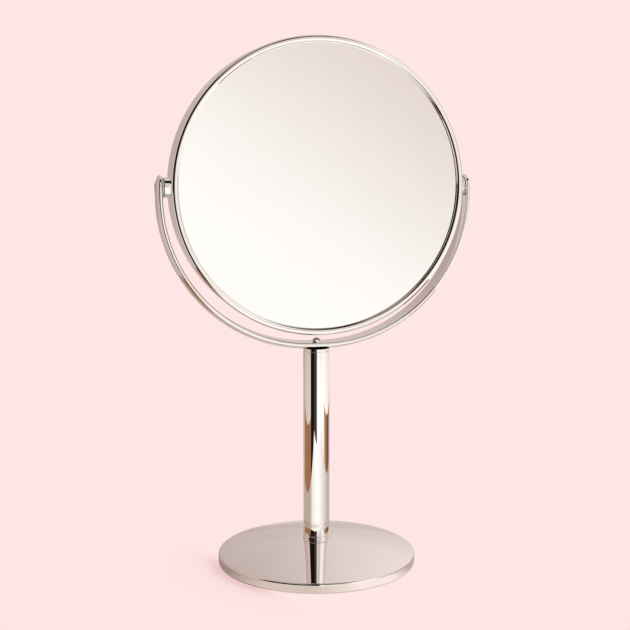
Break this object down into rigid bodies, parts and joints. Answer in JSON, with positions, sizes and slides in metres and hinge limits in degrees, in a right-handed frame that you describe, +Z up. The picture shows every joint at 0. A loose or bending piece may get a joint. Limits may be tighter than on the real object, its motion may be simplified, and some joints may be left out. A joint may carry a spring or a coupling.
{
  "type": "vanity mirror",
  "caption": "Free-standing chrome vanity mirror: a round flip-over head with plain and magnifying faces turns in a U-shaped yoke on a slim pole with a domed, weighted base.",
  "frame": {"origin": "on the surface that the mirror stands on, under the middle of the base", "axes": "+Z up, -Y towards the person who looks into the plain mirror, +X to that person's right along the pivot axis"},
  "size_m": [0.1648, 0.104, 0.2726],
  "materials": {
    "chrome_stand": "bright chrome plate",
    "chrome_frame": "bright chrome plate",
    "plain_mirror": "silvered float glass",
    "magnifying_mirror": "silvered concave glass",
    "screw_steel": "turned steel",
    "zinc_steel": "zinc plate",
    "cast_weight": "rough casting",
    "pad_rubber": "matt sheet",
    "washer_nylon": "natural nylon",
    "spacer_plastic": "moulded",
    "grey_board": "grey board"
  },
  "bodies": {
    "stand": {"base_shell": "chrome_stand", "base_weight": "cast_weight", "base_pad": "pad_rubber", "base_bolt": "zinc_steel", "base_flat_washer": "zinc_steel", "base_spring_washer": "zinc_steel", "foot_collar": "chrome_stand", "pole_tube": "chrome_stand", "lower_plug": "zinc_steel", "upper_plug": "zinc_steel", "top_collar": "chrome_stand", "yoke": "chrome_stand", "yoke_screw": "chrome_stand", "friction_washer_left": "washer_nylon", "friction_washer_right": "washer_nylon"},
    "mirror_head": {"frame_hoop": "chrome_frame", "front_bezel": "chrome_frame", "rear_bezel": "chrome_frame", "plain_glass": "plain_mirror", "magnifying_glass": "magnifying_mirror", "backing_board": "grey_board", "spacer_ring": "spacer_plastic", "pivot_spacer_left": "chrome_frame", "pivot_spacer_right": "chrome_frame", "pivot_stud_left": "screw_steel", "pivot_stud_right": "screw_steel", "lock_washer_left": "zinc_steel", "lock_washer_right": "zinc_steel", "pivot_nut_left": "zinc_steel", "pivot_nut_right": "zinc_steel"}
  },
  "joints": [
    {"name": "mirror_tilt", "type": "hinge", "parent": "stand", "child": "mirror_head", "pos_m": [0, 0, 0.1972], "axis": [1, 0, 0], "continuous": true}
  ]
}
